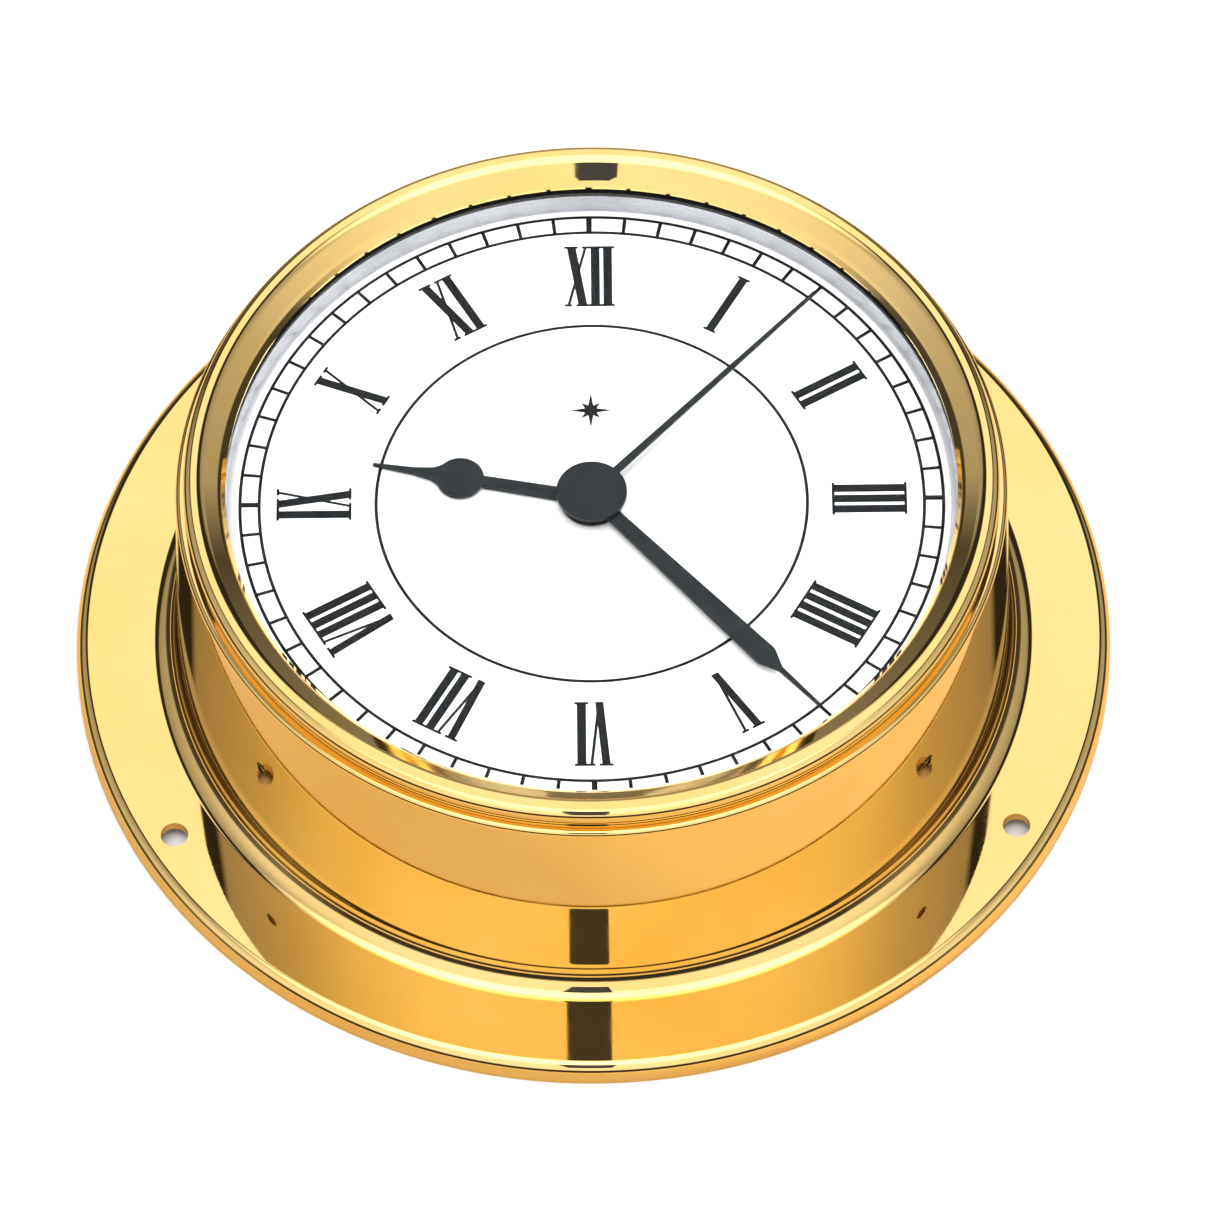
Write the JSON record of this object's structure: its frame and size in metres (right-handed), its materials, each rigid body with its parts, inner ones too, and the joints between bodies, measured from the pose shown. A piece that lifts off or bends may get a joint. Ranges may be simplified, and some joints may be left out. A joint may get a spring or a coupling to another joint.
{
  "type": "ships deck clock",
  "caption": "Brass deck clock: round case on a drilled mounting flange, screwed bezel with glass, white dial, hands on a coupled wheel train, quartz movement, dry cell and setting knob.",
  "frame": {"origin": "centre of the mounting flange's back plane", "axes": "+Z out through the dial and glass, +Y to twelve o'clock on the dial, +X to three o'clock"},
  "size_m": [0.11, 0.11, 0.0316],
  "materials": {
    "polished_brass": "polished and lacquered",
    "clear_glass": "clear, polished",
    "black_rubber": "matte",
    "silver_ring": "satin",
    "dial_white": "satin white paint with black print",
    "pan_steel": "zinc plated",
    "black_plastic": "fine moulded grain",
    "wheel_plastic": "natural moulded",
    "knob_plastic": "ribbed, moulded",
    "steel": "turned",
    "cell_jacket": "printed jacket, plain",
    "contact_metal": "nickel plated",
    "board_green": "solder mask",
    "chip_resin": "cast resin",
    "motor_iron": "stamped sheet",
    "copper_wire": "enamelled winding",
    "magnet": "sintered",
    "hand_black": "black lacquer",
    "screw_black": "blackened"
  },
  "bodies": {
    "root": {"mounting_case": "polished_brass", "bezel_ring": "polished_brass", "glass_lens": "clear_glass", "lens_gasket": "black_rubber", "rehaut_ring": "silver_ring", "dial_plate": "dial_white", "movement_carrier": "pan_steel", "case_grub_screws": "screw_black", "movement_screws": "steel", "movement_case": "black_plastic", "movement_cover": "black_plastic", "cover_screws": "steel", "battery_cell": "cell_jacket", "battery_contact_positive": "contact_metal", "battery_contact_negative": "contact_metal", "circuit_board": "board_green", "quartz_crystal": "contact_metal", "control_chip": "chip_resin", "stator_plate": "motor_iron", "coil_core": "motor_iron", "drive_coil": "copper_wire", "wheel_posts": "steel", "motion_post": "steel"},
    "rotor": {"rotor_magnet": "magnet", "rotor_pinion": "wheel_plastic"},
    "intermediate": {"intermediate_wheel": "wheel_plastic"},
    "seconds": {"seconds_wheel": "wheel_plastic", "seconds_arbor": "steel", "seconds_hand": "hand_black"},
    "third": {"third_wheel": "wheel_plastic"},
    "minute": {"centre_wheel": "wheel_plastic", "minute_tube": "wheel_plastic", "minute_hand": "hand_black"},
    "motion": {"motion_wheel": "wheel_plastic"},
    "hour": {"hour_wheel": "wheel_plastic", "hour_hand": "hand_black"},
    "setting": {"setting_knob": "knob_plastic", "setting_pinion": "wheel_plastic"}
  },
  "joints": [
    {"name": "seconds_turn", "type": "hinge", "parent": "root", "child": "seconds", "pos_m": [0, 0, 0], "axis": [0, 0, -1], "continuous": true},
    {"name": "rotor_turn", "type": "hinge", "parent": "root", "child": "rotor", "pos_m": [0.01068, -0.00239, 0], "axis": [0, 0, -1], "continuous": true},
    {"name": "intermediate_turn", "type": "hinge", "parent": "root", "child": "intermediate", "pos_m": [0.00526, -0.00192, 0], "axis": [0, 0, -1], "continuous": true},
    {"name": "third_turn", "type": "hinge", "parent": "root", "child": "third", "pos_m": [-0.00624, 0.0036, 0], "axis": [0, 0, -1], "continuous": true},
    {"name": "minute_turn", "type": "hinge", "parent": "root", "child": "minute", "pos_m": [0, 0, 0], "axis": [0, 0, -1], "continuous": true},
    {"name": "motion_turn", "type": "hinge", "parent": "root", "child": "motion", "pos_m": [0.003, 0.0052, 0], "axis": [0, 0, -1], "continuous": true},
    {"name": "hour_turn", "type": "hinge", "parent": "root", "child": "hour", "pos_m": [0, 0, 0], "axis": [0, 0, -1], "continuous": true},
    {"name": "setting_turn", "type": "hinge", "parent": "root", "child": "setting", "pos_m": [0.006, 0.01039, 0], "axis": [0, 0, -1], "continuous": true}
  ],
  "couplings": [
    {"joint": "rotor_turn", "follows": "seconds_turn", "ratio": 30},
    {"joint": "intermediate_turn", "follows": "seconds_turn", "ratio": -4},
    {"joint": "third_turn", "follows": "seconds_turn", "ratio": -0.13333},
    {"joint": "minute_turn", "follows": "seconds_turn", "ratio": 0.016667},
    {"joint": "motion_turn", "follows": "seconds_turn", "ratio": -0.0055556},
    {"joint": "hour_turn", "follows": "seconds_turn", "ratio": 0.0013889},
    {"joint": "setting_turn", "follows": "seconds_turn", "ratio": 0.016667}
  ]
}
